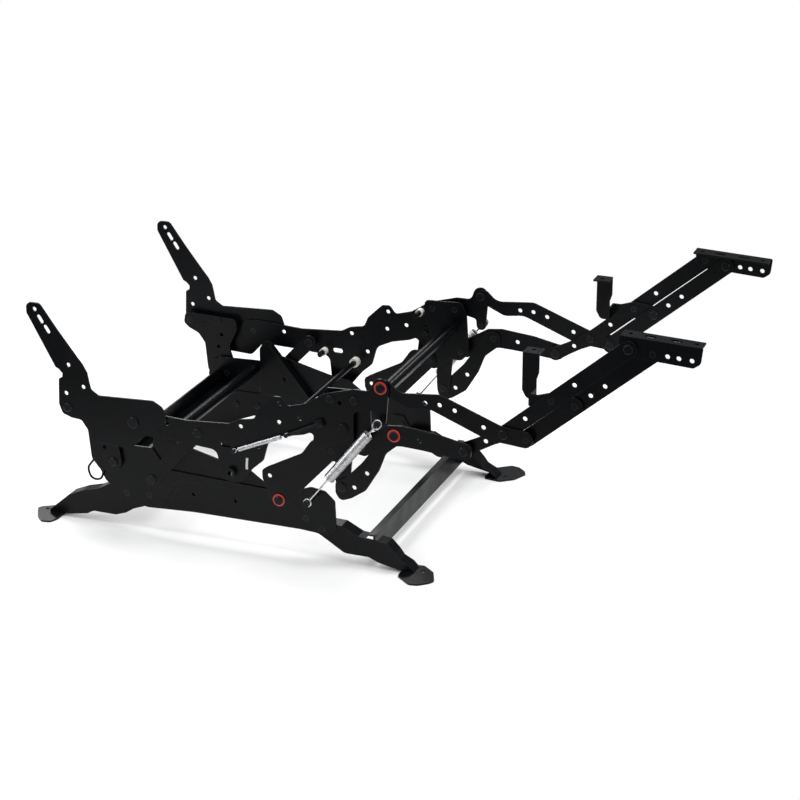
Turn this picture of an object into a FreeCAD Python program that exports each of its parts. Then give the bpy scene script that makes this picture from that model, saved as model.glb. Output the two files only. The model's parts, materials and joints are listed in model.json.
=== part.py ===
import FreeCAD, Part
import Sketcher
import math
import os

# Recliner mechanism, in millimetres.
# x runs forward to the footrest, y across (left side positive), z up from the floor.
# The origin lies midway between the four floor bolt holes, on the floor.
# Side plates lie in layers counted from the outside; every outline is drawn in side view.

sizes = {
    "plateThickness": 3.0,
    "layerPitch": 3.6,
    "outermostFace": 251.5,
    "linkHalfWidth": 14.0,
    "faceGap": 0.3,
    "runningGap": 0.05,
    "pinRadius": 5.0,
    "headRadius": 8.0,
    "headHeight": 2.6,
    "sleeveRadius": 7.0,
    "boltHoleRadius": 4.0,
    "washerRadius": 11.0,
    "washerHeight": 2.0,
    "footFlange": 26.0,
    "bracketFlange": 28.0,
    "tubeRadius": 10.5,
    "rodRadius": 5.0,
    "hubRadius": 9.0,
    "socketWidth": 8.0,
    "coilRadius": 9.5,
    "wireRadius": 1.8,
    "postRadius": 4.0,
    "springPlane": 263.6,
    "smallCoilRadius": 4.2,
    "smallWireRadius": 1.0,
    "smallPostRadius": 2.0,
    "eyeSlack": 5.0,
    "loopWireRadius": 1.9,
    "rivetHead": 6.5,
    "bushRadius": 9.0,
    "bushLength": 12.0,
    "stubLength": 26.0,
}
plate = sizes["plateThickness"]
pin = sizes["pinRadius"]
head = sizes["headRadius"]
headHeight = sizes["headHeight"]
sleeve = sizes["sleeveRadius"]
gap = sizes["faceGap"]
halfWidth = sizes["linkHalfWidth"]
tube = sizes["tubeRadius"]
rod = sizes["rodRadius"]
smallPlane = sizes["outermostFace"] - sizes["layerPitch"] + sizes["smallCoilRadius"] + 2 * gap

doc = FreeCAD.newDocument("ReclinerMechanism")
sheet = doc.addObject("Spreadsheet::Sheet", "Sizes")
for row, (alias, value) in enumerate(sizes.items(), start=1):
    sheet.set("A%d" % row, alias)
    sheet.set("B%d" % row, str(value))
    sheet.setAlias("B%d" % row, alias)
doc.recompute()

# Pivots of the side linkage as (x, z) at rest.
floorBolt = (358.5, 216.0)
frontSwingBase = (103, 101)
frontSwingSeat = (201, 207)
rearSwingBase = (-138, 102)
rearSwingSeat = (-40, 208)
rearPlateBase = (-210, 125)
backPivot = (-160, 211)
liftPivot = (-286, 221)
torquePivot = (228, 256)
crankPin = (225, 150)
crankRearPin = (188, 253)
hubPivot = (22, 146)
hubLinkPin = (12, 206)
rearFootrestPivot = (260, 228)
drivePivot = (320, 258)
footrestPivot = (295, 337)
crossPivot = (441, 248)
upperPivot = (506, 285)
lowerPivot = (544, 280)
bracketPivot = (708, 457)
bracketRearPivot = (746, 452)
midPivot = (584, 352)
midRearPivot = (622, 347)
springLow = (168, 118)
springHigh = (296, 280)
midRod = (50, 178)
rearTube = (-150, 143)
frontRod = (252, 278)
handleSpringLow = (30, 188)
handleSpringHigh = (128, 231)
stubPlaces = [(-13, 191), (179, 293)]
plateBolts = [(205, 305), (248, 308)]

made = []


def outerFace(layer):
    return sizes["outermostFace"] - (layer - 1) * sizes["layerPitch"]


def innerFace(layer):
    return outerFace(layer) - plate


def sideName(side):
    return "left" if side > 0 else "right"


def roundedLoop(points):
    # points are (x, z, corner radius); gives lines and arcs of one closed loop
    count = len(points)
    corners = []
    for i in range(count):
        before = FreeCAD.Vector(points[i - 1][0], points[i - 1][1], 0)
        here = FreeCAD.Vector(points[i][0], points[i][1], 0)
        after = FreeCAD.Vector(points[(i + 1) % count][0], points[(i + 1) % count][1], 0)
        radius = points[i][2] if len(points[i]) > 2 else 0
        toBefore = before - here
        toAfter = after - here
        room = 0.49 * min(toBefore.Length, toAfter.Length)
        toBefore.normalize()
        toAfter.normalize()
        halfAngle = toBefore.getAngle(toAfter) / 2
        if radius <= 0 or halfAngle > 1.55:
            corners.append((here, None, here))
            continue
        reach = min(radius / math.tan(halfAngle), room)
        radius = reach * math.tan(halfAngle)
        bisector = toBefore + toAfter
        bisector.normalize()
        centre = here + bisector * (radius / math.sin(halfAngle))
        corners.append((here + toBefore * reach, centre - bisector * radius, here + toAfter * reach))
    shapes = []
    for i in range(count):
        start, middle, end = corners[i]
        if middle is not None:
            shapes.append(Part.Arc(start, middle, end))
        nextStart = corners[(i + 1) % count][0]
        if end.distanceToPoint(nextStart) > 0.01:
            shapes.append(Part.LineSegment(end, nextStart))
    return shapes


def barOutline(path):
    # path points are (x, z, half width); ends are round, bends are mitred and softened
    left = []
    right = []
    last = len(path) - 1
    for i, (x, z, half) in enumerate(path):
        before = path[max(i - 1, 0)]
        after = path[min(i + 1, last)]
        inward = math.atan2(z - before[1], x - before[0]) if i > 0 else None
        outward = math.atan2(after[1] - z, after[0] - x) if i < last else None
        if inward is None:
            inward = outward
        if outward is None:
            outward = inward
        turn = (outward - inward + math.pi) % (2 * math.pi) - math.pi
        along = inward + turn / 2
        reach = half / math.cos(turn / 2)
        shift = -half if i == 0 else half if i == last else 0
        soft = half * 0.98 if i in (0, last) else 24
        baseX = x + shift * math.cos(along)
        baseZ = z + shift * math.sin(along)
        left.append((baseX - reach * math.sin(along), baseZ + reach * math.cos(along), soft))
        right.append((baseX + reach * math.sin(along), baseZ - reach * math.cos(along), soft))
    return left + right[::-1]


def bandOutline(top, thickness):
    # a strip of even thickness under a line of (x, z) points
    lower = []
    last = len(top) - 1
    for i, (x, z) in enumerate(top):
        before = top[max(i - 1, 0)]
        after = top[min(i + 1, last)]
        along = math.atan2(after[1] - before[1], after[0] - before[0])
        lower.append((x + thickness * math.sin(along), z - thickness * math.cos(along)))
    return [(x, z, 0) for x, z in list(top) + lower[::-1]]


def addHole(sketch, x, y, alias, extra=None):
    radius = sizes[alias] + (sizes[extra] if extra else 0)
    centre = FreeCAD.Vector(x, y, 0)
    index = sketch.addGeometry(Part.Circle(centre, FreeCAD.Vector(0, 0, 1), radius), False)
    constraint = sketch.addConstraint(Sketcher.Constraint("Radius", index, radius))
    formula = "Sizes." + alias
    if extra:
        formula += " + Sizes." + extra
    sketch.setExpression("Constraints[%d]" % constraint, formula)


def addSlot(sketch, x, y, length, width, degrees):
    turn = math.radians(degrees)
    reach = (length - width) / 2
    ends = [(x - reach * math.cos(turn), y - reach * math.sin(turn), width / 2),
            (x + reach * math.cos(turn), y + reach * math.sin(turn), width / 2)]
    for shape in roundedLoop(barOutline(ends)):
        sketch.addGeometry(shape, False)


def addSquare(sketch, x, y, width):
    half = width / 2
    corners = [(x - half, y - half), (x + half, y - half), (x + half, y + half), (x - half, y + half)]
    for shape in roundedLoop(corners):
        sketch.addGeometry(shape, False)


def originPlane(body, role):
    for feature in body.Origin.OriginFeatures:
        if feature.Role == role:
            return feature
    return None


class SidePlate:
    # one pressed steel part standing in a layer of one side; depth is counted inward
    def __init__(self, name, side, face):
        self.body = doc.addObject("PartDesign::Body", name)
        self.body.Label = name
        self.name = name
        self.side = side
        self.face = face
        self.body.Placement = FreeCAD.Placement(FreeCAD.Vector(0, side * face, 0), FreeCAD.Rotation())
        made.append(self.body)

    def sketch(self, role, offset):
        sketch = self.body.newObject("Sketcher::SketchObject", self.name + "Sketch")
        sketch.AttachmentSupport = [(originPlane(self.body, role), "")]
        sketch.MapMode = "FlatFace"
        sketch.AttachmentOffset = FreeCAD.Placement(FreeCAD.Vector(0, 0, offset), FreeCAD.Rotation())
        return sketch

    def pad(self, outline, holes=(), slots=(), start=0.0, depth=None, square=None):
        sketch = self.sketch("XZ_Plane", self.side * start)
        for shape in roundedLoop(outline):
            sketch.addGeometry(shape, False)
        for hole in holes:
            addHole(sketch, *hole)
        for slot in slots:
            addSlot(sketch, *slot)
        if square:
            addSquare(sketch, *square)
        pad = self.body.newObject("PartDesign::Pad", self.name + "Pad")
        pad.Profile = sketch
        pad.Reversed = self.side < 0
        if depth is None:
            pad.Length = plate
            pad.setExpression("Length", "Sizes.plateThickness")
        elif isinstance(depth, str):
            pad.Length = sizes[depth]
            pad.setExpression("Length", "Sizes." + depth)
        else:
            pad.Length = depth
        doc.recompute()
        return pad

    def recess(self, outline, depth):
        sketch = self.sketch("XZ_Plane", 0)
        for shape in roundedLoop(outline):
            sketch.addGeometry(shape, False)
        pocket = self.body.newObject("PartDesign::Pocket", self.name + "Recess")
        pocket.Profile = sketch
        pocket.Length = depth
        pocket.Reversed = self.side > 0
        doc.recompute()
        return pocket

    def floorPad(self, outline):
        sketch = self.sketch("XY_Plane", 0)
        placed = [(x, self.side * (y - self.face), r) for x, y, r in outline]
        for shape in roundedLoop(placed):
            sketch.addGeometry(shape, False)
        pad = self.body.newObject("PartDesign::Pad", self.name + "FloorPad")
        pad.Profile = sketch
        pad.Length = plate
        pad.setExpression("Length", "Sizes.plateThickness")
        doc.recompute()

    def verticalHoles(self, holes, slots=()):
        sketch = self.sketch("XY_Plane", 0)
        for x, y, alias in holes:
            addHole(sketch, x, self.side * (y - self.face), alias)
        for x, y, length, width in slots:
            addSlot(sketch, x, self.side * (y - self.face), length, width, 0)
        pocket = self.body.newObject("PartDesign::Pocket", self.name + "Holes")
        pocket.Profile = sketch
        pocket.Type = 1
        pocket.Reversed = True
        doc.recompute()


def fixedHole(pivot):
    return (pivot[0], pivot[1], "pinRadius")


def runningHole(pivot):
    return (pivot[0], pivot[1], "pinRadius", "runningGap")


def openHole(x, z):
    return (x, z, "boltHoleRadius")


def turned(name, steps, pivot, side):
    # steps are (start, end, start radius, end radius), counted outward across the machine
    sketch = doc.addObject("Sketcher::SketchObject", name + "Profile")
    points = [(0, steps[0][0])]
    for start, end, startRadius, endRadius in steps:
        points += [(startRadius, start), (endRadius, end)]
    points.append((0, steps[-1][1]))
    loop = [p for i, p in enumerate(points) if p != points[i - 1]]
    for shape in roundedLoop(loop):
        sketch.addGeometry(shape, False)
    sketch.Placement = FreeCAD.Placement(FreeCAD.Vector(), FreeCAD.Rotation(FreeCAD.Vector(1, 0, 0), 90))
    solid = doc.addObject("Part::Revolution", name)
    solid.Source = sketch
    solid.Axis = FreeCAD.Vector(0, 0, 1)
    solid.Angle = 360
    solid.Solid = True
    turn = FreeCAD.Rotation(FreeCAD.Vector(1, 0, 0), -90 * side)
    solid.Placement = FreeCAD.Placement(FreeCAD.Vector(pivot[0], 0, pivot[1]), turn)
    return solid


def outHead(start, radius=head):
    return [(start, start + headHeight - 1, radius, radius),
            (start + headHeight - 1, start + headHeight, radius, radius - 1.5)]


def inHead(end, radius=head):
    return [(end - headHeight, end - headHeight + 1, radius - 1.5, radius),
            (end - headHeight + 1, end, radius, radius)]


def group(name, solids):
    compound = doc.addObject("Part::Compound", name)
    compound.Label = name
    compound.Links = solids
    made.append(compound)
    doc.recompute()
    return compound


def bothSides(name, maker):
    solids = []
    for side in (1, -1):
        solids += maker(side)
    return group(name, solids)


# Fixed base

railLayer = 7
webFace = innerFace(railLayer)
footRivets = [(150, 72), (180, 58), (-190, 66), (-146, 68)]
gussetFlange = 14


def makeBaseRail(side):
    rail = SidePlate("base_rail_" + sideName(side), side, outerFace(railLayer))
    outline = [(-230, 84, 8), (-248, 118, 10), (-242, 146, 10), (-222, 156, 12), (-138, 159, 10),
               (-124, 140, 12), (-112, 122, 12), (92, 115, 20), (140, 124, 14), (160, 132, 10),
               (186, 128, 10), (204, 112, 10), (206, 62, 10), (196, 51, 8), (-60, 50, 30),
               (-150, 45, 20), (-182, 52, 14)]
    holes = [fixedHole(frontSwingBase), fixedHole(rearSwingBase), fixedHole(rearPlateBase)]
    holes += [fixedHole(place) for place in footRivets]
    holes += [(springLow[0], springLow[1], "postRadius"), openHole(-60, 84), openHole(20, 84)]
    rail.pad(outline, holes)
    crease = barOutline([(-112, 64, 5), (-92, 98, 5), (-50, 101, 5)])
    rail.recess(crease, 0.8)


def makeFoot(side, name, webOutline, flangeLines, padOutline, rivets, boltX):
    foot = SidePlate(name + "_" + sideName(side), side, webFace)
    foot.pad(webOutline, [fixedHole(place) for place in rivets])
    for line in flangeLines:
        foot.pad(bandOutline(line, plate), depth="footFlange")
    foot.floorPad(padOutline)
    foot.verticalHoles([(boltX, floorBolt[1], "boltHoleRadius")])
    return foot


def makeFrontFoot(side):
    web = [(128, 90, 4), (128, 50, 6), (172, 47, 20), (220, 18, 20), (264, 18, 10), (280, 11, 20),
           (324, 2, 10), (338, 0, 0), (346, 0, 0), (346, 4, 0), (336, 14, 8), (320, 22, 10), (312, 33, 10),
           (297, 48, 10), (270, 51, 12), (245, 53, 20), (215, 68, 14), (165, 69, 10), (152, 90, 6)]
    rearFlange = [(165, 69), (215, 68), (245, 53), (257, 52)]
    frontFlange = [(279, 50.1), (297, 48), (312, 33), (320, 22), (336, 14), (345, 5)]
    floorPlate = [(322, 198, 4), (353, 194, 8), (376, 213, 8), (388, 242, 8), (382, 253, 6), (367, 266, 6),
                  (352, 269, 8), (340, 259, 6), (324, 246, 6)]
    rivets = footRivets[:2]
    makeFoot(side, "front_foot", web, [rearFlange, frontFlange], floorPlate, rivets, floorBolt[0])


def makeRearFoot(side):
    web = [(92, 90, 4), (92, 112, 8), (43, 146, 16), (17, 148, 20), (-48, 164, 20), (-92, 175, 16),
           (-137, 178, 10), (-137, 92, 4), (-205, 92, 6), (-228, 75, 6), (-250, 63, 12), (-280, 55, 12),
           (-307, 43, 12), (-330, 23, 10), (-347, 8, 0), (-347, 0, 0), (-338, 0, 10), (-272, 12, 10),
           (-260, 19, 10), (-215, 19, 10), (-195, 26, 12), (-180, 36, 12), (-128, 56, 20), (60, 62, 10)]
    flange = [(-345, 9), (-330, 23), (-307, 43), (-280, 55), (-250, 63), (-229, 74)]
    floorPlate = [(-322, 246, 6), (-328, 262, 6), (-344, 265, 8), (-360, 249, 6), (-377, 218, 6),
                  (-371, 209, 6), (-342, 191, 8), (-322, 198, 4)]
    foot = makeFoot(side, "rear_foot", web, [flange], floorPlate, footRivets[2:], -floorBolt[0])
    gusset = [(-28, 100, 4), (-113, 202, 6), (-128, 202, 8), (-137, 186, 10), (-137, 96, 4), (-40, 90, 8)]
    foot.pad(gusset, [(-86, 132, "pinRadius")], start=plate)
    foot.pad(bandOutline([(-111, 200), (-30, 102.4)], plate), start=plate, depth=gussetFlange)


def crossPart(name, outline, reach):
    # a straight bar across the machine, its section drawn in side view
    bar = SidePlate(name, 1, reach)
    bar.pad(outline, depth=2 * reach)


def angleSection(corner, along, up):
    # corner is the outer corner of a rolled angle, along and up are signed flange lengths
    x, z = corner
    signX = math.copysign(plate, along)
    signZ = math.copysign(plate, up)
    return [(x, z, 0), (x + along, z, 0), (x + along, z + signZ, 0), (x + signX, z + signZ, 1),
            (x + signX, z + up, 0), (x, z + up, 0)]


def crossRound(name, pivot, radius, reach):
    group(name, [turned(name + "Bar", [(-reach, reach, radius, radius)], pivot, 1)])


def makeBasePins(side):
    label = sideName(side)
    linkOuter = outerFace(6) + gap
    plateOuter = outerFace(5) + gap
    railOuter = outerFace(railLayer)
    washerTop = linkOuter + sizes["washerHeight"]
    front = [(webFace, washerTop, pin, pin)] + outHead(washerTop)
    rear = [(webFace, linkOuter, pin, pin)] + outHead(linkOuter)
    lug = [(webFace, railOuter, pin, pin), (railOuter, innerFace(5) - gap, sleeve, sleeve),
           (innerFace(5) - gap, plateOuter, pin, pin)] + outHead(plateOuter)
    post = [(webFace, railOuter, sizes["postRadius"], sizes["postRadius"]),
            (railOuter, railOuter + 2, 5, 5),
            (railOuter + 2, sizes["springPlane"] + 3, sizes["postRadius"], sizes["postRadius"]),
            (sizes["springPlane"] + 3, sizes["springPlane"] + 5, 6, 6)]
    return [turned("frontSwingPin" + label, front, frontSwingBase, side),
            turned("rearSwingPin" + label, rear, rearSwingBase, side),
            turned("rearPlatePin" + label, lug, rearPlateBase, side),
            turned("springPost" + label, post, springLow, side)]


def makeFootRivets(side):
    webInner = webFace - plate
    steps = inHead(webInner, sizes["rivetHead"]) + [(webInner, outerFace(railLayer), pin, pin)]
    return [turned("footRivet%s%d" % (sideName(side), i), steps, place, side)
            for i, place in enumerate(footRivets)]


def washer(name, pivot, side, start, hole):
    outer = sizes["washerRadius"]
    height = sizes["washerHeight"]
    ring = turned(name + "Disc", [(start, start + height, outer, outer)], pivot, side)
    bore = turned(name + "Bore", [(start - 1, start + height + 1, hole, hole)], pivot, side)
    cut = doc.addObject("Part::Cut", name)
    cut.Base = ring
    cut.Tool = bore
    return cut


def makeRedWashers(side):
    label = sideName(side)
    return [washer("baseWasher" + label, frontSwingBase, side, outerFace(6) + gap, pin)]


for side in (1, -1):
    makeBaseRail(side)
    makeFrontFoot(side)
    makeRearFoot(side)
barReach = webFace - plate
crossPart("front_cross_bar", angleSection((274, 59), -12, -39), barReach)
crossPart("rear_cross_angle", angleSection((-226, 100), 31, 34), webFace)
crossRound("rear_cross_tube", rearTube, 10, webFace)
bothSides("base_pivot_pins", lambda side: makeBasePins(side) + makeFootRivets(side))
bothSides("red_base_washers", makeRedWashers)


# Seat frame

seatLayer = 2
seatOuter = outerFace(seatLayer)
seatInner = innerFace(seatLayer)
seatBolts = [(-97, 217), (41, 232), (114, 284)]


def makeSeatRail(side):
    rail = SidePlate("seat_rail_" + sideName(side), side, seatOuter)
    outline = [(-186, 214, 14), (-170, 188, 14), (-128, 188, 16), (-60, 186, 20), (-4, 182, 14),
               (0, 140, 14), (12, 128, 14), (38, 128, 14), (62, 158, 12), (82, 176, 12), (92, 212, 20),
               (122, 226, 14), (156, 234, 10), (176, 243, 6), (172, 214, 6), (180, 210, 6), (246, 242, 6),
               (246, 286, 10), (268, 296, 10), (286, 292, 6), (288, 272, 8), (304, 272, 8), (306, 298, 8),
               (309, 336, 14), (303, 353, 13), (284, 352, 13), (276, 328, 12), (248, 328, 20),
               (195, 313, 20), (160, 290, 14), (128, 281, 8), (117, 296, 8), (102, 295, 8), (74, 268, 12),
               (66, 249, 10), (38, 244, 12), (20, 234, 12), (-60, 228, 20), (-150, 233, 14),
               (-176, 230, 12)]
    running = "runningGap"
    holes = [fixedHole(backPivot), fixedHole(rearSwingSeat), fixedHole(footrestPivot),
             (torquePivot[0], torquePivot[1], "pinRadius", running),
             (springHigh[0], springHigh[1], "postRadius"),
             openHole(112, 250), openHole(73, 200), openHole(222, 300), openHole(150, 262)]
    holes += [openHole(*place) for place in seatBolts]
    holes += [fixedHole(place) for place in plateBolts]
    if side < 0:
        holes.append((hubPivot[0], hubPivot[1], "hubRadius", running))
    slots = [(13, 194, 20, 9, 0)]
    rail.pad(outline, holes, slots)


def makePivotPlate(side):
    inner = SidePlate("seat_pivot_plate_" + sideName(side), side, outerFace(5))
    outline = [(190, 320, 8), (262, 323, 8), (272, 296, 10), (276, 226, 14), (262, 211, 12),
               (236, 212, 16), (212, 188, 14), (190, 192, 14), (186, 214, 12), (206, 250, 16),
               (190, 292, 10)]
    holes = [fixedHole(rearFootrestPivot), fixedHole(frontSwingSeat),
             (torquePivot[0], torquePivot[1], "tubeRadius", "runningGap")]
    holes += [fixedHole(place) for place in plateBolts]
    inner.pad(outline, holes)


def makeSeatPins(side):
    label = sideName(side)
    plateInner = innerFace(5)
    plateOuter = outerFace(5)
    washerTop = seatOuter + sizes["washerHeight"]
    front = inHead(innerFace(3) - gap) + [(innerFace(3) - gap, washerTop, pin, pin)] + outHead(washerTop)
    back = [(seatInner, outerFace(1) + gap, pin, pin)] + outHead(outerFace(1) + gap, 10)
    rearLink = [(plateInner, plateOuter, pin, pin), (plateOuter, innerFace(1) - gap, sleeve, sleeve),
                (innerFace(1) - gap, outerFace(1) + gap, pin, pin),
                (outerFace(1) + gap, outerFace(1) + 1.6, head, head - 1)]
    swing = inHead(innerFace(6) - gap) + [(innerFace(6) - gap, plateOuter, pin, pin)]
    rearSwing = inHead(innerFace(6) - gap) + [(innerFace(6) - gap, outerFace(6) + gap, pin, pin),
                                             (outerFace(6) + gap, seatInner, sleeve, sleeve),
                                             (seatInner, seatOuter, pin, pin)] + outHead(seatOuter)
    post = [(seatInner, seatOuter, sizes["postRadius"], sizes["postRadius"]),
            (seatOuter, sizes["springPlane"] + 3, sizes["postRadius"], sizes["postRadius"]),
            (sizes["springPlane"] + 3, sizes["springPlane"] + 5, 6, 6)]
    pins = [turned("footrestPin" + label, front, footrestPivot, side),
            turned("backPin" + label, back, backPivot, side),
            turned("rearFootrestPin" + label, rearLink, rearFootrestPivot, side),
            turned("swingPin" + label, swing, frontSwingSeat, side),
            turned("rearSwingPinSeat" + label, rearSwing, rearSwingSeat, side),
            turned("springPostSeat" + label, post, springHigh, side)]
    spacer = [(plateInner, plateOuter, pin, pin), (plateOuter, seatInner, sleeve, sleeve),
              (seatInner, seatOuter, pin, pin)] + outHead(seatOuter, 7)
    for i, place in enumerate(plateBolts):
        pins.append(turned("plateSpacer%s%d" % (label, i), spacer, place, side))
    stub = [(seatInner - sizes["stubLength"], seatInner, rod, rod)]
    for i, place in enumerate(stubPlaces):
        pins.append(turned("railStub%s%d" % (label, i), stub, place, side))
    if side < 0:
        small = sizes["smallPostRadius"]
        top = smallPlane + sizes["smallCoilRadius"]
        post = [(seatOuter, top, small, small), (top, top + 1, small + 1.5, small + 1.5)]
        pins += [turned("handlePostLow", post, handleSpringLow, side),
                 turned("handlePostHigh", post, handleSpringHigh, side)]
    return pins


def makeSeatWashers(side):
    return [washer("seatWasher" + sideName(side), footrestPivot, side, seatOuter, pin)]


def makeRodBushings(side):
    start = seatInner - sizes["bushLength"]
    bushes = []
    for i, place in enumerate([midRod] + stubPlaces):
        label = "%s%d" % (sideName(side), i)
        outer = sizes["bushRadius"] if i == 0 else sizes["bushRadius"] - 2
        ring = turned("bushRing" + label, [(start, seatInner, outer, outer)], place, side)
        bore = turned("bushBore" + label, [(start - 1, seatInner + 1, rod, rod)], place, side)
        cut = doc.addObject("Part::Cut", "bush" + label)
        cut.Base = ring
        cut.Tool = bore
        bushes.append(cut)
    return bushes


for side in (1, -1):
    makeSeatRail(side)
    makePivotPlate(side)
bothSides("seat_pivot_pins", makeSeatPins)
bothSides("red_seat_washers", makeSeatWashers)
bothSides("white_rod_bushings", makeRodBushings)
crossRound("mid_cross_rod", midRod, sizes["rodRadius"], seatInner)
crossRound("front_cross_rod", frontRod, 6, innerFace(5))


# Back arms and rear lift plates

def makeBackArm(side):
    arm = SidePlate("back_arm_" + sideName(side), side, outerFace(1))
    outline = [(-357, 405, 10), (-357, 386, 8), (-306, 293, 5), (-300, 290, 2), (-293, 283, 3),
               (-294, 276, 2), (-301, 272, 3), (-303, 226, 8), (-297, 209, 8), (-280, 203, 8),
               (-260, 201, 8), (-250, 190, 8), (-246, 174, 8), (-236, 164, 8), (-166, 161, 12),
               (-145, 184, 10), (-118, 204, 8), (-96, 224, 8), (-104, 246, 10), (-122, 256, 8),
               (-226, 251, 10), (-240, 260, 8), (-246, 290, 5), (-254, 304, 4), (-264, 316, 8),
               (-300, 362, 30), (-332, 406, 11)]
    holes = [fixedHole(liftPivot), runningHole(backPivot), openHole(-341, 394), openHole(-281, 300),
             openHole(-254, 263), openHole(-288, 247)]
    slots = [(-331, 377, 17, 8, -57), (-319, 360, 17, 8, -57)]
    arm.pad(outline, holes, slots)


def makeLiftPlate(side):
    lift = SidePlate("rear_lift_plate_" + sideName(side), side, outerFace(5))
    outline = [(-297, 235, 10), (-300, 214, 8), (-290, 205, 8), (-270, 196, 12), (-257, 178, 12),
               (-252, 126, 12), (-236, 106, 10), (-206, 106, 12), (-194, 122, 12), (-198, 150, 14),
               (-207, 176, 14), (-190, 212, 10), (-192, 232, 8)]
    holes = [fixedHole(liftPivot), runningHole(rearPlateBase), openHole(-222, 198), openHole(-229, 174),
             openHole(-226, 149)]
    lift.pad(outline, holes)
    rib = barOutline([(-268, 208, 6), (-228, 226, 6)])
    lift.pad(rib, start=plate - 0.5, depth=2.5)


def makeArmRivets(side):
    label = sideName(side)
    lift = inHead(innerFace(1) - gap, 7) + [(innerFace(1) - gap, outerFace(1), pin, pin)]
    lift += outHead(outerFace(1))
    return [turned("liftRivet" + label, lift, liftPivot, side)]


def makeLiftStubs(side):
    start = innerFace(5)
    stub = inHead(start, 7) + [(start, outerFace(5), pin, pin),
                               (outerFace(5), innerFace(1) - 4, sleeve, sleeve)]
    return [turned("liftStub" + sideName(side), stub, liftPivot, side)]


for side in (1, -1):
    makeBackArm(side)
    makeLiftPlate(side)
bothSides("back_arm_rivets", makeArmRivets)
bothSides("lift_plate_pins", makeLiftStubs)


# Swing links that carry the seat on the base

def makeSwingLink(name, low, high, side):
    link = SidePlate(name + "_" + sideName(side), side, outerFace(6))
    middle = ((low[0] + high[0]) / 2, (low[1] + high[1]) / 2)
    path = [(low[0], low[1], 13), (middle[0], middle[1], 12), (high[0], high[1], 13)]
    link.pad(barOutline(path), [runningHole(low), runningHole(high)])


def makeFrontSwingLink(side):
    link = SidePlate("front_swing_link_" + sideName(side), side, outerFace(6))
    outline = [(88, 99, 12), (97, 86, 11), (112, 89, 11), (214, 200, 11), (212, 215, 11), (196, 221, 11),
               (166, 222, 16), (146, 193, 20), (82, 159, 8), (72, 152, 8), (73, 136, 10)]
    link.pad(outline, [runningHole(frontSwingBase), runningHole(frontSwingSeat), openHole(86, 143)])


for side in (1, -1):
    makeFrontSwingLink(side)
    makeSwingLink("rear_swing_link", rearSwingBase, rearSwingSeat, side)


# Torque tube, cranks, drive links and handle hub

crankLayer = 3


def makeCrank(side):
    crank = SidePlate("drive_crank_" + sideName(side), side, outerFace(crankLayer))
    outline = [(211, 272, 12), (244, 274, 14), (246, 240, 14), (237, 150, 11), (230, 138, 11),
               (214, 138, 11), (212, 160, 12), (212, 226, 16), (206, 242, 8), (188, 243, 8),
               (178, 247, 8), (180, 262, 9)]
    holes = [(torquePivot[0], torquePivot[1], "tubeRadius"), fixedHole(crankPin), fixedHole(crankRearPin)]
    crank.pad(outline, holes)


def makeTorqueTube():
    reach = outerFace(crankLayer)
    seatReach = seatOuter + gap
    steps = [(0, reach, tube, tube), (reach, seatReach, pin, pin)] + outHead(seatReach, 9)
    return [turned("torqueHalf" + sideName(side), steps, torquePivot, side) for side in (1, -1)]


def makeCrankPins(side):
    label = sideName(side)
    front = inHead(innerFace(crankLayer), 7) + [(innerFace(crankLayer), outerFace(crankLayer), pin, pin)]
    rear = [(innerFace(4), outerFace(crankLayer), pin, pin)]
    return [turned("crankStub" + label, front, crankPin, side),
            turned("crankRearPin" + label, rear, crankRearPin, side)]


def makeDriveLink(side):
    link = SidePlate("drive_link_" + sideName(side), side, outerFace(2))
    outline = [(213, 158, 11), (213, 138, 11), (222, 124, 10), (242, 132, 16), (268, 150, 16),
               (292, 190, 30), (304, 222, 20), (332, 246, 13), (334, 262, 13), (322, 273, 13),
               (306, 268, 13), (292, 242, 30), (262, 200, 30), (232, 168, 16)]
    holes = [fixedHole(crankPin), runningHole(drivePivot), openHole(247, 152), openHole(270, 181)]
    link.pad(outline, holes)


def makeDriveStubs(side):
    face = outerFace(2)
    steps = [(innerFace(2), face, pin, pin)] + outHead(face)
    return [turned("driveStub" + sideName(side), steps, crankPin, side)]


def makeHub():
    hub = SidePlate("handle_hub", -1, outerFace(crankLayer))
    path = [(hubPivot[0], hubPivot[1], 15), (hubLinkPin[0], hubLinkPin[1], 9)]
    square = (hubPivot[0], hubPivot[1], sizes["socketWidth"])
    hub.pad(barOutline(path), square=square)
    sketch = hub.sketch("XZ_Plane", 0)
    addHole(sketch, hubPivot[0], hubPivot[1], "hubRadius")
    addSquare(sketch, hubPivot[0], hubPivot[1], sizes["socketWidth"])
    boss = hub.body.newObject("PartDesign::Pad", "handle_hubBoss")
    boss.Profile = sketch
    boss.Length = 11
    boss.Reversed = False
    doc.recompute()


def makeHubLink():
    link = SidePlate("hub_link", -1, outerFace(4))
    path = [(hubLinkPin[0], hubLinkPin[1], 9), (100, 232, 8), (crankRearPin[0], crankRearPin[1], 9)]
    link.pad(barOutline(path), [runningHole(crankRearPin)])


for side in (1, -1):
    makeCrank(side)
    makeDriveLink(side)
fused = doc.addObject("Part::MultiFuse", "torque_tube")
fused.Label = "torque_tube"
fused.Shapes = makeTorqueTube()
made.append(fused)
bothSides("crank_pins", makeCrankPins)
bothSides("drive_link_pins", makeDriveStubs)
makeHub()
makeHubLink()


# Footrest links and brackets

def alongLine(start, end, distance):
    length = math.hypot(end[0] - start[0], end[1] - start[1])
    share = distance / length
    return (start[0] + share * (end[0] - start[0]), start[1] + share * (end[1] - start[1]))


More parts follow.
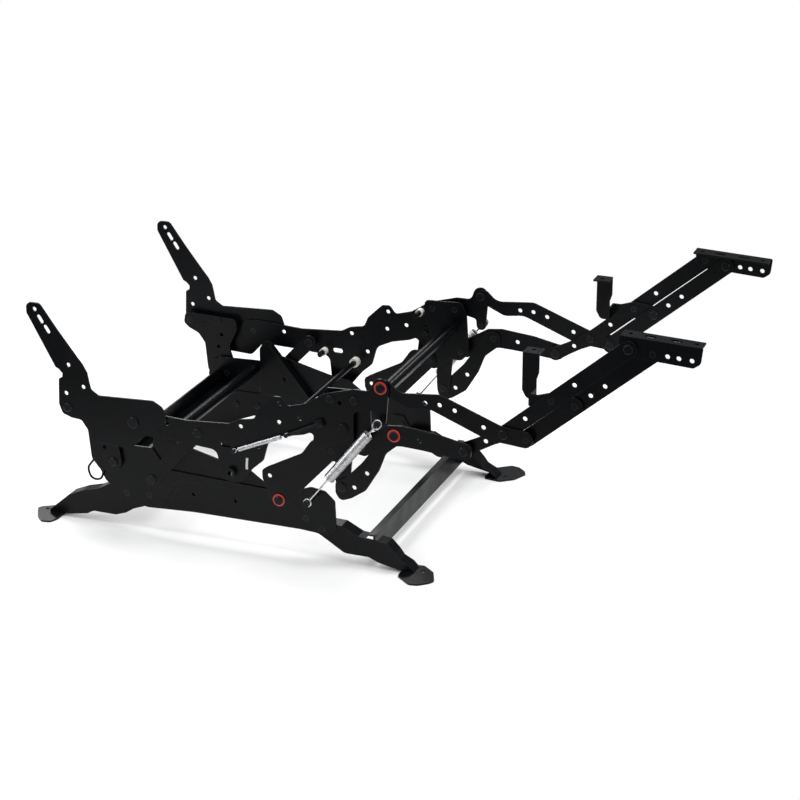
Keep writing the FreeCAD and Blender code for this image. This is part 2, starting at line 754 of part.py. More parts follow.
def makeRearFootrestLink(side):
    link = SidePlate("rear_footrest_link_" + sideName(side), side, outerFace(1))
    outline = [(247, 238, 13), (248, 217, 13), (268, 213, 13), (300, 232, 30), (330, 241, 30),
               (372, 239, 40), (432, 233, 20), (453, 234, 13), (455, 260, 13), (440, 262, 13),
               (396, 271, 40), (334, 277, 14), (308, 274, 14), (262, 246, 14)]
    holes = [runningHole(rearFootrestPivot), fixedHole(drivePivot), fixedHole(crossPivot),
             openHole(365, 256)]
    link.pad(outline, holes)


def makeFrontFootrestLink(side):
    link = SidePlate("front_footrest_link_" + sideName(side), side, outerFace(3))
    outline = [(283, 348, 12), (288, 324, 12), (306, 322, 12), (342, 306, 24), (378, 311, 30),
               (470, 275, 30), (500, 270, 14), (548, 266, 13), (558, 279, 13), (550, 294, 13),
               (500, 299, 20), (396, 338, 30), (326, 331, 24), (306, 350, 12)]
    holes = [runningHole(footrestPivot), fixedHole(upperPivot), fixedHole(lowerPivot),
             openHole(371, 320), openHole(396, 320), openHole(422, 314), openHole(472, 292)]
    link.pad(outline, holes)


def makeUpperFootrestLink(side):
    link = SidePlate("upper_footrest_link_" + sideName(side), side, outerFace(4))
    path = [crossPivot + (13,), alongLine(crossPivot, upperPivot, 28) + (10.5,),
            alongLine(crossPivot, upperPivot, 50) + (10.5,), upperPivot + (13,), bracketPivot + (halfWidth,)]
    holes = [fixedHole(crossPivot), runningHole(upperPivot), fixedHole(midPivot), fixedHole(bracketPivot),
             openHole(622, 385), openHole(475, 267), openHole(541, 316)]
    link.pad(barOutline(path), holes)


def makeLowerFootrestLink(side):
    link = SidePlate("lower_footrest_link_" + sideName(side), side, outerFace(6))
    path = [lowerPivot + (halfWidth,), bracketRearPivot + (halfWidth,)]
    holes = [runningHole(lowerPivot), fixedHole(midRearPivot), fixedHole(bracketRearPivot),
             openHole(670, 387), openHole(647, 368)]
    link.pad(barOutline(path), holes)


def makeFootrestBracket(side):
    face = outerFace(5)
    bracket = SidePlate("footrest_bracket_" + sideName(side), side, face)
    outline = [(691, 478, 3), (692, 448, 10), (706, 443, 10), (760, 441, 20), (812, 438, 8), (823, 446, 8),
               (826, 473, 3)]
    holes = [runningHole(bracketPivot), runningHole(bracketRearPivot), openHole(770, 452),
             openHole(788, 451), openHole(809, 450)]
    bracket.pad(outline, holes)
    bracket.pad(bandOutline([(693, 478), (824, 473)], plate), depth="bracketFlange")
    middle = face - sizes["bracketFlange"] / 2 - 1
    bracket.verticalHoles([(706, middle, "boltHoleRadius"), (812, middle, "boltHoleRadius")],
                          [(738, middle, 20, 8), (780, middle, 20, 8)])


def makeMidBracket(side):
    bracket = SidePlate("mid_footrest_bracket_" + sideName(side), side, outerFace(5))
    jog = 33.0
    tabReach = 60.0
    base = [(545, 338, 3), (636, 333, 13), (636, 360, 13), (584, 366, 12), (560, 358, 8), (545, 358, 3)]
    bracket.pad(base, [runningHole(midPivot), runningHole(midRearPivot)])
    bracket.pad([(545, 338), (548, 338), (548, 358), (545, 358)], depth=jog)
    leg = [(524, 417, 0), (524, 352, 6), (532, 338, 8), (548, 338, 0), (548, 372, 6), (552, 384, 6),
           (552, 417, 0)]
    bracket.pad(leg, start=jog - plate)
    bracket.pad([(524, 414), (552, 414), (552, 417), (524, 417)], start=jog - plate, depth=tabReach - jog)
    bracket.verticalHoles([(538, outerFace(5) - tabReach + 14, "boltHoleRadius")])


def makeLinkPins(side):
    label = sideName(side)
    upper = inHead(innerFace(4) - gap, 7) + [(innerFace(4) - gap, outerFace(3), pin, pin)]
    upper += outHead(outerFace(3))
    lower = inHead(innerFace(6) - gap) + [(innerFace(6) - gap, outerFace(6) + gap, pin, pin),
                                         (outerFace(6) + gap, innerFace(3), pin + 0.4, pin + 0.4),
                                         (innerFace(3), outerFace(3), pin, pin)]
    return [turned("upperPin" + label, upper, upperPivot, side),
            turned("lowerPin" + label, lower, lowerPivot, side)]


def makeUpperLinkPins(side):
    label = sideName(side)
    bracketPin = [(innerFace(5), outerFace(4), pin, pin)] + outHead(outerFace(4))
    midPin = [(innerFace(5), outerFace(4), pin, pin)]
    crossStub = inHead(innerFace(4)) + [(innerFace(4), outerFace(4), pin, pin)]
    return [turned("bracketPin" + label, bracketPin, bracketPivot, side),
            turned("midPin" + label, midPin, midPivot, side),
            turned("crossStub" + label, crossStub, crossPivot, side)]


def makeLowerLinkPins(side):
    label = sideName(side)
    steps = inHead(innerFace(6)) + [(innerFace(6), outerFace(5), pin, pin)]
    return [turned("bracketRearPin" + label, steps, bracketRearPivot, side),
            turned("midRearPin" + label, steps, midRearPivot, side)]


def makeRearLinkPins(side):
    label = sideName(side)
    washerTop = outerFace(1) + sizes["washerHeight"]
    drive = [(innerFace(2), washerTop, pin, pin)] + outHead(washerTop)
    cross = [(outerFace(4) + gap, innerFace(1), sleeve, sleeve), (innerFace(1), outerFace(1), pin, pin)]
    cross += outHead(outerFace(1))
    return [turned("drivePin" + label, drive, drivePivot, side),
            turned("crossPin" + label, cross, crossPivot, side)]


def makeLinkWashers(side):
    return [washer("linkWasher" + sideName(side), drivePivot, side, outerFace(1), pin)]


for side in (1, -1):
    makeRearFootrestLink(side)
    makeFrontFootrestLink(side)
    makeUpperFootrestLink(side)
    makeLowerFootrestLink(side)
    makeFootrestBracket(side)
    makeMidBracket(side)
bothSides("front_link_pins", makeLinkPins)
bothSides("upper_link_pins", makeUpperLinkPins)
bothSides("lower_link_pins", makeLowerLinkPins)
bothSides("rear_link_pins", makeRearLinkPins)
bothSides("red_link_washers", makeLinkWashers)


# Springs, each a close-wound coil with a wire eye at both ends, and the rear wire loop

def sweptWire(name, points, plane, radius, side):
    # a round wire along a closed rounded loop of (x, z, corner radius), standing in one plane
    edges = [shape.toShape() for shape in roundedLoop(points)]
    path = Part.Wire(Part.__sortEdges__(edges))
    start = path.Edges[0].valueAt(path.Edges[0].FirstParameter)
    heading = path.Edges[0].tangentAt(path.Edges[0].FirstParameter)
    profile = Part.Wire(Part.makeCircle(radius, start, heading))
    swept = path.makePipeShell([profile], True, False)
    swept.rotate(FreeCAD.Vector(), FreeCAD.Vector(1, 0, 0), 90)
    swept.translate(FreeCAD.Vector(0, side * plane, 0))
    return swept


def eyeLoop(post, inward, radius, slack):
    # a long eye round a post; the slack runs from the post towards the coil
    far = (post[0] + inward[0] * slack, post[1] + inward[1] * slack, radius)
    return barOutline([outset(post, inward, -radius, radius), outset(far, inward, radius, radius)])


def outset(point, inward, distance, radius):
    return (point[0] + inward[0] * distance, point[1] + inward[1] * distance, radius)


def makeSpring(name, side, low, high, coil, plane, alias, slack):
    # coil holds the two distances from the low post between which the wire is wound
    coilRadius, wireRadius, postRadius = [sizes[key] for key in alias]
    length = math.hypot(high[0] - low[0], high[1] - low[1])
    along = ((high[0] - low[0]) / length, (high[1] - low[1]) / length)
    back = (-along[0], -along[1])
    axis = FreeCAD.Vector(along[0], 0, along[1])
    lowPoint = FreeCAD.Vector(low[0], side * plane, low[1])
    start = lowPoint + axis * coil[0]
    eye = postRadius + wireRadius + gap
    shapes = [Part.makeCylinder(coilRadius, coil[1] - coil[0], start, axis)]
    shapes.append(sweptWire(name, eyeLoop(low, along, eye, 0.5), plane, wireRadius, side))
    shapes.append(sweptWire(name, eyeLoop(high, back, eye, slack), plane, wireRadius, side))
    lowShank = coil[0] - eye - 0.5
    highShank = length - coil[1] - eye - slack
    shapes.append(Part.makeCylinder(wireRadius, lowShank + 1, start - axis * lowShank, axis))
    shapes.append(Part.makeCylinder(wireRadius, highShank, start + axis * (coil[1] - coil[0]), axis))
    solid = shapes[0].fuse(shapes[1:]).removeSplitter()
    return solid


def keepShape(name, solid):
    item = doc.addObject("Part::Feature", name)
    item.Label = name
    item.Shape = solid
    made.append(item)


assistSizes = ("coilRadius", "wireRadius", "postRadius")
handleSizes = ("smallCoilRadius", "smallWireRadius", "smallPostRadius")
for side in (1, -1):
    name = "assist_spring_" + sideName(side)
    keepShape(name, makeSpring(name, side, springLow, springHigh, (64, 182), sizes["springPlane"],
                               assistSizes, sizes["eyeSlack"]))
keepShape("handle_spring", makeSpring("handle_spring", -1, handleSpringLow, handleSpringHigh, (9, 96),
                                      smallPlane, handleSizes, 0.5))
loopWire = sizes["loopWireRadius"]
loopPath = [(-220, 150, 7), (-238, 138, 12), (-264, 104, 14), (-258, 84, 12), (-238, 84, 12)]
keepShape("rear_wire_loop", sweptWire("rear_wire_loop", loopPath, outerFace(railLayer) + loopWire,
                                      loopWire, -1))

doc.recompute()
os.makedirs("parts", exist_ok=True)
labels = set()
for item in doc.Objects:
    if "Invalid" in item.State or "Error" in item.State:
        raise RuntimeError("feature failed: " + item.Name)
for item in made:
    shape = item.Shape
    if shape.isNull() or not shape.isValid() or not shape.Solids:
        raise RuntimeError("bad shape: " + item.Label)
    if item.Label in labels:
        raise RuntimeError("name used twice: " + item.Label)
    labels.add(item.Label)
    shape.exportStep("parts/" + item.Label + ".step")
print(len(made), "parts written")
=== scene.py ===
import bpy
import json
import math
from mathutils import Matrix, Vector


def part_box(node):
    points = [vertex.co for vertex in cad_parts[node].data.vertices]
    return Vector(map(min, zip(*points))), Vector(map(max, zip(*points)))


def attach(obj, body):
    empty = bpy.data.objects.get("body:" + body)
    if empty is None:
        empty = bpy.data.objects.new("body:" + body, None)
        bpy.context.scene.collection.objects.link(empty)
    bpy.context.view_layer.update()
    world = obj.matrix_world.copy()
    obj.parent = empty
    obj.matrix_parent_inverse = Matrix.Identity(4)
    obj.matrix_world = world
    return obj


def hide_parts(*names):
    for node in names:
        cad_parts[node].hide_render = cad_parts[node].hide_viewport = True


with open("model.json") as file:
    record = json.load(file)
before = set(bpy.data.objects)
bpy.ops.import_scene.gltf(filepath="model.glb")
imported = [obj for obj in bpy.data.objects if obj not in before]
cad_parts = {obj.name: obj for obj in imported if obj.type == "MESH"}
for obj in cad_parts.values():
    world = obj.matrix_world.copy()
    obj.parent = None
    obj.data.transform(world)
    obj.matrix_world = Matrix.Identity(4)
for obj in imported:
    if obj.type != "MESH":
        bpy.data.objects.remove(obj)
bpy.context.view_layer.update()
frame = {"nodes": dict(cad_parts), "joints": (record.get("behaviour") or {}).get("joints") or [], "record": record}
print("frame loaded")


# Materials

def newMaterial(name):
    material = bpy.data.materials.new(name)
    material.use_nodes = True
    nodes = material.node_tree.nodes
    shader = nodes["Principled BSDF"]
    place = nodes.new("ShaderNodeTexCoord")
    return material, nodes, material.node_tree.links, shader, place


def noiseNode(nodes, links, place, scale, detail):
    noise = nodes.new("ShaderNodeTexNoise")
    noise.inputs["Scale"].default_value = scale
    noise.inputs["Detail"].default_value = detail
    noise.inputs["Roughness"].default_value = 0.55
    links.new(place.outputs["Object"], noise.inputs["Vector"])
    return noise


def rampNode(nodes, links, source, stops):
    ramp = nodes.new("ShaderNodeValToRGB")
    ramp.color_ramp.elements[0].position = stops[0][0]
    ramp.color_ramp.elements[0].color = stops[0][1]
    ramp.color_ramp.elements[1].position = stops[-1][0]
    ramp.color_ramp.elements[1].color = stops[-1][1]
    for position, color in stops[1:-1]:
        ramp.color_ramp.elements.new(position).color = color
    links.new(source, ramp.inputs["Fac"])
    return ramp


def rangeNode(nodes, links, source, to, start=(0.3, 0.7)):
    # the default start is the band that most of a noise falls in
    mapped = nodes.new("ShaderNodeMapRange")
    mapped.inputs["From Min"].default_value = start[0]
    mapped.inputs["From Max"].default_value = start[1]
    mapped.inputs["To Min"].default_value = to[0]
    mapped.inputs["To Max"].default_value = to[1]
    links.new(source, mapped.inputs["Value"])
    return mapped


def grainBump(nodes, links, place, shader, scale, strength, depth):
    grain = noiseNode(nodes, links, place, scale, 2)
    bump = nodes.new("ShaderNodeBump")
    bump.inputs["Strength"].default_value = strength
    bump.inputs["Distance"].default_value = depth
    links.new(grain.outputs["Fac"], bump.inputs["Height"])
    links.new(bump.outputs["Normal"], shader.inputs["Normal"])


def grey(value, blue=1.0):
    return (value, value, value * blue, 1)


def paintedEdgeHighlight(nodes, links, place, coat):
    # painted edge highlight: 0 on flat faces, rising where the rounded normal leaves the true one, broken up by
    # noise
    edge = nodes.new("ShaderNodeBevel")
    edge.samples = 4
    edge.inputs["Radius"].default_value = coat["edgeHighlightWidth"]
    facing = nodes.new("ShaderNodeNewGeometry")
    dot = nodes.new("ShaderNodeVectorMath")
    dot.operation = "DOT_PRODUCT"
    links.new(edge.outputs["Normal"], dot.inputs[0])
    links.new(facing.outputs["Normal"], dot.inputs[1])
    edgeHighlightRim = rangeNode(nodes, links, dot.outputs["Value"], (0, coat["edgeHighlightAmount"]), (0.98, 0.8))
    edgeHighlightBreakup = noiseNode(nodes, links, place, coat["edgeHighlightBreakupScale"], 3)
    edgeHighlightMask = nodes.new("ShaderNodeMath")
    edgeHighlightMask.operation = "MULTIPLY"
    links.new(edgeHighlightRim.outputs["Result"], edgeHighlightMask.inputs[0])
    links.new(edgeHighlightBreakup.outputs["Fac"], edgeHighlightMask.inputs[1])
    return edgeHighlightMask


def makeCoat(name, coat):
    # powder coat: orange-peel skin, dull and bright areas, edges lightened a little by a painted highlight
    material, nodes, links, shader, place = newMaterial(name)
    cloud = noiseNode(nodes, links, place, coat["cloudScale"], 6)
    tone = rampNode(nodes, links, cloud.outputs["Fac"], [(0.3, coat["dark"]), (0.7, coat["light"])])
    # mask of the painted edge highlight
    edgeHighlightMask = paintedEdgeHighlight(nodes, links, place, coat)
    mix = nodes.new("ShaderNodeMix")
    mix.data_type = "RGBA"
    # B is the painted edge highlight colour
    mix.inputs["B"].default_value = coat["edgeHighlightColor"]
    links.new(edgeHighlightMask.outputs["Value"], mix.inputs["Factor"])
    links.new(tone.outputs["Color"], mix.inputs["A"])
    links.new(mix.outputs["Result"], shader.inputs["Base Color"])
    sheen = noiseNode(nodes, links, place, coat["sheenScale"], 4)
    rough = rangeNode(nodes, links, sheen.outputs["Fac"], coat["rough"])
    links.new(rough.outputs["Result"], shader.inputs["Roughness"])
    grainBump(nodes, links, place, shader, coat["peelScale"], coat["peelStrength"], coat["peelDepth"])
    shader.inputs["Metallic"].default_value = 0.0
    shader.inputs["Specular IOR Level"].default_value = coat["specular"]
    shader.inputs["Coat Weight"].default_value = coat["clearCoat"]
    shader.inputs["Coat Roughness"].default_value = coat["clearRough"]
    return material


def makeZinc(name, zinc):
    # drawn wire: bright, with faint dark streaks from the plating
    material, nodes, links, shader, place = newMaterial(name)
    streak = noiseNode(nodes, links, place, zinc["streakScale"], 5)
    tone = rampNode(nodes, links, streak.outputs["Fac"], zinc["tones"])
    links.new(tone.outputs["Color"], shader.inputs["Base Color"])
    rough = rangeNode(nodes, links, streak.outputs["Fac"], zinc["rough"])
    links.new(rough.outputs["Result"], shader.inputs["Roughness"])
    shader.inputs["Metallic"].default_value = 1.0
    return material


def makePlastic(name, plastic):
    material, nodes, links, shader, place = newMaterial(name)
    cloud = noiseNode(nodes, links, place, plastic["cloudScale"], 4)
    tone = rampNode(nodes, links, cloud.outputs["Fac"], [(0.3, plastic["dark"]), (0.7, plastic["light"])])
    links.new(tone.outputs["Color"], shader.inputs["Base Color"])
    rough = rangeNode(nodes, links, cloud.outputs["Fac"], plastic["rough"])
    links.new(rough.outputs["Result"], shader.inputs["Roughness"])
    grainBump(nodes, links, place, shader, plastic["grainScale"], plastic["grainStrength"],
              plastic["grainDepth"])
    shader.inputs["Subsurface Weight"].default_value = plastic["glow"]
    shader.inputs["Subsurface Scale"].default_value = plastic["glowDepth"]
    return material


blackCoat = {
    "dark": (0.0007, 0.0009, 0.0013, 1),
    "light": (0.0022, 0.0027, 0.0036, 1),
    # painted highlight colour on the edges
    "edgeHighlightColor": (0.11, 0.116, 0.126, 1),
    "rough": (0.28, 0.43),
    "specular": 0.13,
    "clearCoat": 0.05,
    "clearRough": 0.22,
    # width and strength of the painted edge highlight
    "edgeHighlightWidth": 0.0012,
    "edgeHighlightAmount": 0.55,
    "cloudScale": 9,  # noise scales: the larger, the finer
    "sheenScale": 22,
    # noise that breaks up the painted edge highlight
    "edgeHighlightBreakupScale": 60,
    "peelScale": 520,
    "peelStrength": 0.12,
    "peelDepth": 0.0003,
}
rivetSteel = dict(
    blackCoat,
    dark=(0.0022, 0.0025, 0.003, 1),
    light=(0.0065, 0.0072, 0.0085, 1),
    # painted highlight colour on the rivets' edges
    edgeHighlightColor=(0.24, 0.245, 0.255, 1),
    rough=(0.2, 0.35),
)
zincWire = {
    "tones": [(0.25, grey(0.42, 1.03)), (0.5, grey(0.66, 1.02)), (0.8, grey(0.8))],
    "rough": (0.2, 0.38),
    "streakScale": 90,
}
redPlastic = {
    "dark": (0.5, 0.03, 0.018, 1),
    "light": (0.68, 0.055, 0.032, 1),
    "rough": (0.33, 0.48),
    "glow": 0.05,
    "glowDepth": 0.004,
    "cloudScale": 45,
    "grainScale": 700,
    "grainStrength": 0.08,
    "grainDepth": 0.0002,
}
whitePlastic = dict(
    redPlastic,
    dark=(0.66, 0.65, 0.6, 1),
    light=(0.8, 0.79, 0.75, 1),
    rough=(0.35, 0.5),
    glow=0.15,
)
finishes = {
    "black_coat": makeCoat("blackCoat", blackCoat),
    "rivet_steel": makeCoat("rivetSteel", rivetSteel),
    "zinc_wire": makeZinc("zincWire", zincWire),
    "red_plastic": makePlastic("redPlastic", redPlastic),
    "white_plastic": makePlastic("whitePlastic", whitePlastic),
}
slotOf = {row["node"]: row["material_slot"] for row in frame["record"]["subparts"]}


def dress(piece, finish):
    piece.data.materials.clear()
    piece.data.materials.append(finish)


for nodeName, node in frame["nodes"].items():
    dress(node, finishes[slotOf[nodeName]])
print("materials done")


# New pieces

def pick(piece):
    bpy.ops.object.select_all(action="DESELECT")
    piece.select_set(True)
    bpy.context.view_layer.objects.active = piece


def stand(piece, tilt, place):
    # leans a piece made at the origin along its line, then puts it at its place
    pick(piece)
    bpy.ops.object.transform_apply(location=True, rotation=True, scale=True)
    piece.rotation_euler = (0, tilt, 0)
    piece.location = place


def settle(piece, name, body, slotName):
    # place goes into the mesh, then the piece rides on its body
    pick(piece)
    bpy.ops.object.transform_apply(location=True, rotation=True, scale=True)
    bpy.ops.object.mode_set(mode="EDIT")
    bpy.ops.mesh.select_all(action="SELECT")
    bpy.ops.mesh.normals_make_consistent(inside=False)
    bpy.ops.object.mode_set(mode="OBJECT")
    bpy.ops.object.shade_smooth_by_angle(angle=0.6)
    piece.name = name
    piece.data.name = name
    dress(piece, finishes[slotName])
    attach(piece, body)


def shifted(place, by):
    return tuple(p + b for p, b in zip(place, by))


def joinAll(pieces):
    bpy.ops.object.select_all(action="DESELECT")
    for piece in pieces:
        piece.select_set(True)
    bpy.context.view_layer.objects.active = pieces[0]
    bpy.ops.object.join()
    return bpy.context.view_layer.objects.active


def postPlace(standIn, run, end):
    # a spring's posts lie half its (x, z) run either side of its CAD stand-in's middle: end is -1 or 1
    low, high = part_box(standIn)
    middle = (low + high) / 2
    return (middle.x + end * run[0] / 2, middle.y, middle.z + end * run[1] / 2)


def tiltOf(run):
    # turn about y that lays the z axis along an (x, z) run
    return math.atan2(run[0], run[1])


def makeCoil(radius, wire, turns, pitch):
    # wire circle standing at the coil's rim, swept up the z axis
    bpy.ops.mesh.primitive_circle_add(vertices=12, radius=wire, location=(0, 0, 0),
                                      rotation=(math.pi / 2, 0, 0))
    coil = bpy.context.active_object
    bpy.ops.object.transform_apply(location=True, rotation=True, scale=True)
    bpy.ops.object.mode_set(mode="EDIT")
    bpy.ops.mesh.select_all(action="SELECT")
    bpy.ops.transform.translate(value=(radius - wire, 0, 0))
    bpy.ops.object.mode_set(mode="OBJECT")
    screw = coil.modifiers.new("Wind", "SCREW")
    screw.axis = "Z"
    screw.screw_offset = pitch
    screw.iterations = turns
    screw.steps = 28
    screw.render_steps = 28
    screw.use_smooth_shade = True
    pick(coil)
    bpy.ops.object.modifier_apply(modifier="Wind")
    return coil


def makeHook(wire, ring, slack, reach):
    # an eye round a post at the origin, stretched by its slack, with its tail running up the z axis
    bpy.ops.mesh.primitive_torus_add(major_radius=ring, minor_radius=wire, major_segments=40,
                                     minor_segments=12, rotation=(math.pi / 2, 0, 0))
    loop = bpy.context.active_object
    bpy.ops.object.transform_apply(location=True, rotation=True, scale=True)
    bpy.ops.object.mode_set(mode="EDIT")
    bpy.ops.mesh.select_all(action="DESELECT")
    bpy.ops.object.mode_set(mode="OBJECT")
    for vertex in loop.data.vertices:
        vertex.select = vertex.co.z > 0.0001
    bpy.ops.object.mode_set(mode="EDIT")
    bpy.ops.mesh.select_mode(type="VERT")
    bpy.ops.transform.translate(value=(0, 0, slack))
    bpy.ops.object.mode_set(mode="OBJECT")
    foot = ring + slack
    bpy.ops.mesh.primitive_cylinder_add(vertices=14, radius=wire, depth=reach - foot,
                                        location=(0, 0, (reach + foot) / 2))
    tail = bpy.context.active_object
    return joinAll([loop, tail])


def makeSpring(name, spring, body, standIn):
    wire = spring["wire"]
    span = math.hypot(*spring["run"])
    pitch = wire * spring["spacing"]
    turns = int((spring["coilEnd"] - spring["coilStart"]) / pitch)
    coil = makeCoil(spring["radius"], wire, turns, pitch)
    pick(coil)
    bpy.ops.transform.translate(value=(0, 0, spring["coilStart"]))
    low = makeHook(wire, spring["ring"], spring["lowSlack"], spring["coilStart"] + wire)
    high = makeHook(wire, spring["ring"], spring["highSlack"], span - spring["coilEnd"] + wire)
    pick(high)
    bpy.ops.transform.rotate(value=math.pi, orient_axis="X", center_override=(0, 0, 0))
    bpy.ops.transform.translate(value=(0, 0, span))
    whole = joinAll([coil, low, high])
    stand(whole, tiltOf(spring["run"]), postPlace(standIn, spring["run"], -1))
    settle(whole, name, body, "zinc_wire")
    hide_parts(standIn)


assistSpring = {
    "run": (0.128, 0.162),  # from the low post to the high one
    "radius": 0.0095,
    "wire": 0.0015,
    "spacing": 2.02,  # pitch in wire radii, so that the turns nearly touch
    "ring": 0.0061,
    "lowSlack": 0.0005,
    "highSlack": 0.005,  # the real spring shortens over the seat's swing
    "coilStart": 0.064,
    "coilEnd": 0.182,
}
handleSpring = {
    "run": (0.098, 0.043),
    "radius": 0.0042,
    "wire": 0.0008,
    "spacing": 2.02,
    "ring": 0.0033,
    "lowSlack": 0.0005,
    "highSlack": 0.0005,
    "coilStart": 0.009,
    "coilEnd": 0.096,
}
for word in ("left", "right"):
    makeSpring("wound_spring_" + word, assistSpring, "springs", "assist_spring_" + word)
makeSpring("wound_handle_spring", handleSpring, "seat", "handle_spring")
print("springs done")


def softBlock(size, edgeWidth, segments):
    # box round the origin with eased edges
    bpy.ops.mesh.primitive_cube_add(size=1, location=(0, 0, 0))
    block = bpy.context.active_object
    block.scale = size
    bpy.ops.object.transform_apply(location=True, rotation=True, scale=True)
    edges = block.modifiers.new("Edges", "BEVEL")
    edges.width = edgeWidth
    edges.segments = segments
    pick(block)
    bpy.ops.object.modifier_apply(modifier="Edges")
    return block


def makeGuideRod(rod):
    # ribbed black rod beyond the small spring
    span = math.hypot(*rod["run"])
    ribs = makeCoil(rod["radius"], rod["wire"], int(span / rod["pitch"]), rod["pitch"])
    bpy.ops.mesh.primitive_cylinder_add(vertices=24, radius=rod["core"], depth=span,
                                        location=(0, 0, span / 2))
    core = bpy.context.active_object
    whole = joinAll([ribs, core])
    stand(whole, tiltOf(rod["run"]), shifted(rod["start"], (0, rod["inward"], 0)))
    settle(whole, "guide_rod", "seat", "black_coat")


def makeGuideBlock(rod):
    # square grey block on the seat rail that the rod ends in
    block = softBlock(rod["block"], rod["blockEdge"], 3)
    end = shifted(rod["start"], (rod["run"][0], rod["blockInward"], rod["run"][1]))
    stand(block, tiltOf(rod["run"]), end)
    settle(block, "guide_block", "seat", "rivet_steel")


highPost = postPlace("handle_spring", handleSpring["run"], 1)
guideRod = {
    "start": shifted(highPost, (0.003, 0, 0.001)),
    "run": (0.056, 0.028),
    "inward": 0.0005,  # nearer to the rail than the spring is
    "radius": 0.0036,
    "wire": 0.0007,
    "pitch": 0.0022,
    "core": 0.0031,
    "block": (0.013, 0.006, 0.014),
    "blockEdge": 0.0012,
    "blockInward": 0.0015,
}
makeGuideRod(guideRod)
makeGuideBlock(guideRod)
print("guide rod done")


def makeClip(clip):
    # thin white strip standing on the seat rail beside the handle hub
    hub = jointPlaces["handle_turn"]
    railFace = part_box("seat_rail_right")[0].y
    along, up = clip["fromHub"]
    strip = softBlock(clip["size"], clip["edge"], 2)
    stand(strip, clip["lean"], (hub[0] + along, railFace - clip["size"][1] / 2, hub[2] + up))
    settle(strip, "hub_clip", "seat", "white_plastic")


jointPlaces = {joint["name"]: joint["pos_m"] for joint in frame["joints"]}
hubClip = {
    "size": (0.0042, 0.0018, 0.021),
    "edge": 0.0006,
    "lean": 0.06,
    "fromHub": (0.0295, 0.020),
}
makeClip(hubClip)
print("clip done")


# Camera, floor and light

def placeCamera(view):
    bpy.ops.object.camera_add(location=view["place"], rotation=(math.pi / 2 - view["dip"], 0, view["turn"]))
    camera = bpy.context.active_object
    camera.name = "photoCamera"
    camera.data.sensor_width = 36
    camera.data.lens = view["lens"]
    camera.data.clip_start = 0.1
    camera.data.clip_end = 60
    bpy.context.scene.camera = camera


# the photograph's view, solved from its parallel bars
photoCamera = {
    "place": (1.64557, -3.63978, 1.75766),
    "dip": 0.376040671,  # radians below the horizon
    "turn": 0.370254784,
    "lens": 108,
}
placeCamera(photoCamera)


def makeFloor(ground):
    # pale ground that takes the shadow and turns clear away from the mechanism
    bpy.ops.mesh.primitive_plane_add(size=ground["size"], location=(0, 0, -ground["gap"]))
    floor = bpy.context.active_object
    floor.name = "floor"
    material, nodes, links, shader, place = newMaterial("paleFloor")
    cloud = noiseNode(nodes, links, place, ground["cloudScale"], 3)
    tone = rampNode(nodes, links, cloud.outputs["Fac"], [(0.3, ground["dark"]), (0.7, ground["light"])])
    links.new(tone.outputs["Color"], shader.inputs["Base Color"])
    shader.inputs["Roughness"].default_value = ground["rough"]
    shader.inputs["Specular IOR Level"].default_value = ground["specular"]
    away = nodes.new("ShaderNodeVectorMath")
    away.operation = "LENGTH"
    links.new(place.outputs["Object"], away.inputs[0])
    fade = rangeNode(nodes, links, away.outputs["Value"], (0, 1), ground["fade"])
    clear = nodes.new("ShaderNodeBsdfTransparent")
    blend = nodes.new("ShaderNodeMixShader")
    links.new(fade.outputs["Result"], blend.inputs["Fac"])
    links.new(shader.outputs["BSDF"], blend.inputs[1])
    links.new(clear.outputs["BSDF"], blend.inputs[2])
    links.new(blend.outputs["Shader"], nodes["Material Output"].inputs["Surface"])
    dress(floor, material)


paleFloor = {
    "size": 40,
    "gap": 0.0003,  # below the foot pads
    "dark": grey(0.86),
    "light": grey(0.9),
    "rough": 0.85,
    "specular": 0.15,
    "cloudScale": 3,
    "fade": (0.55, 1.25),  # metres from the origin
}
makeFloor(paleFloor)
print("floor done")


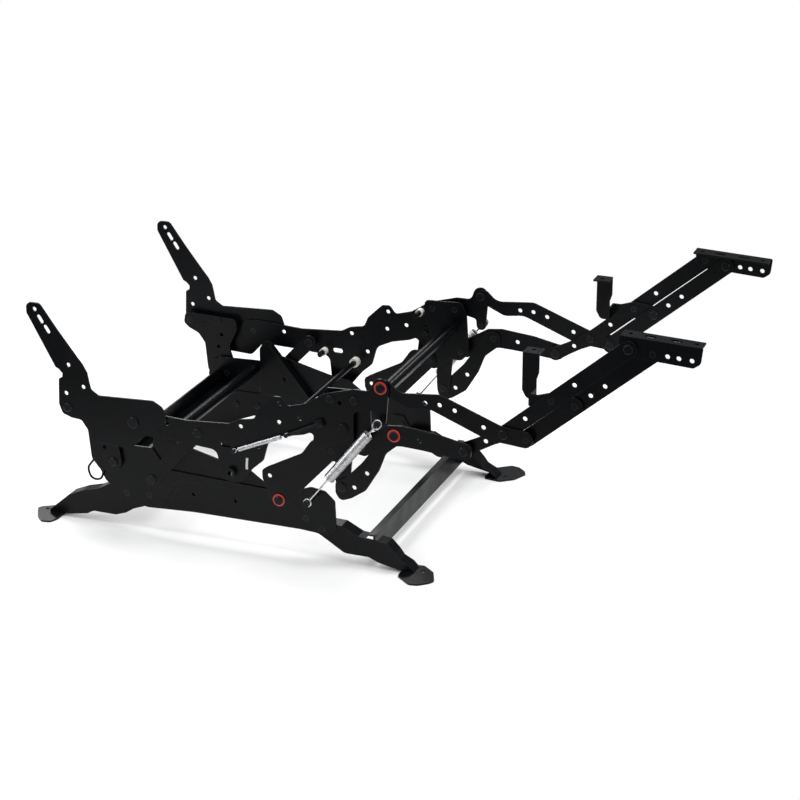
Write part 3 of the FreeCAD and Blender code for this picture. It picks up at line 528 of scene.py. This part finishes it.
def areaLight(name, light):
    aim = [t - p for t, p in zip(light["target"], light["place"])]
    flat = math.hypot(aim[0], aim[1])
    turn = (math.atan2(flat, -aim[2]), 0, math.atan2(aim[1], aim[0]) - math.pi / 2)
    bpy.ops.object.light_add(type="AREA", location=light["place"], rotation=turn)
    lamp = bpy.context.active_object
    lamp.name = name
    lamp.data.shape = "RECTANGLE"
    lamp.data.size = light["size"][0]
    lamp.data.size_y = light["size"][1]
    lamp.data.energy = light["power"]


studioLights = {
    "overhead": {"place": (0.2, 0.1, 3.0), "target": (0.2, 0, 0.2), "size": (3.4, 2.8), "power": 130},
    "frontLeft": {"place": (-2.4, -2.4, 1.7), "target": (0.1, 0, 0.2), "size": (0.7, 1.4), "power": 30},
    "frontRight": {"place": (2.8, -1.8, 1.5), "target": (0.3, 0, 0.2), "size": (0.6, 1.6), "power": 14},
    "rearRim": {"place": (-1.6, 2.6, 1.9), "target": (0.1, 0, 0.2), "size": (1.6, 1.0), "power": 34},
}
for name, light in studioLights.items():
    areaLight(name, light)


def makeWorld(studio):
    # soft fill on the mechanism, plain white behind it
    world = bpy.data.worlds.new("studio")
    bpy.context.scene.world = world
    world.use_nodes = True
    nodes = world.node_tree.nodes
    links = world.node_tree.links
    fill = nodes["Background"]
    fill.inputs["Color"].default_value = studio["fillColor"]
    fill.inputs["Strength"].default_value = studio["fillStrength"]
    backdrop = nodes.new("ShaderNodeBackground")
    backdrop.inputs["Color"].default_value = studio["backdropColor"]
    backdrop.inputs["Strength"].default_value = 1.0
    ray = nodes.new("ShaderNodeLightPath")
    seen = nodes.new("ShaderNodeMath")
    seen.operation = "MAXIMUM"
    links.new(ray.outputs["Is Camera Ray"], seen.inputs[0])
    links.new(ray.outputs["Is Transmission Ray"], seen.inputs[1])
    choose = nodes.new("ShaderNodeMixShader")
    links.new(seen.outputs["Value"], choose.inputs["Fac"])
    links.new(fill.outputs["Background"], choose.inputs[1])
    links.new(backdrop.outputs["Background"], choose.inputs[2])
    links.new(choose.outputs["Shader"], nodes["World Output"].inputs["Surface"])


studioWorld = {
    "fillColor": (0.93, 0.95, 1, 1),
    "fillStrength": 0.2,
    "backdropColor": (1, 1, 1, 1),
}
makeWorld(studioWorld)
bpy.context.scene.view_settings.view_transform = "Standard"
print("camera and light done")
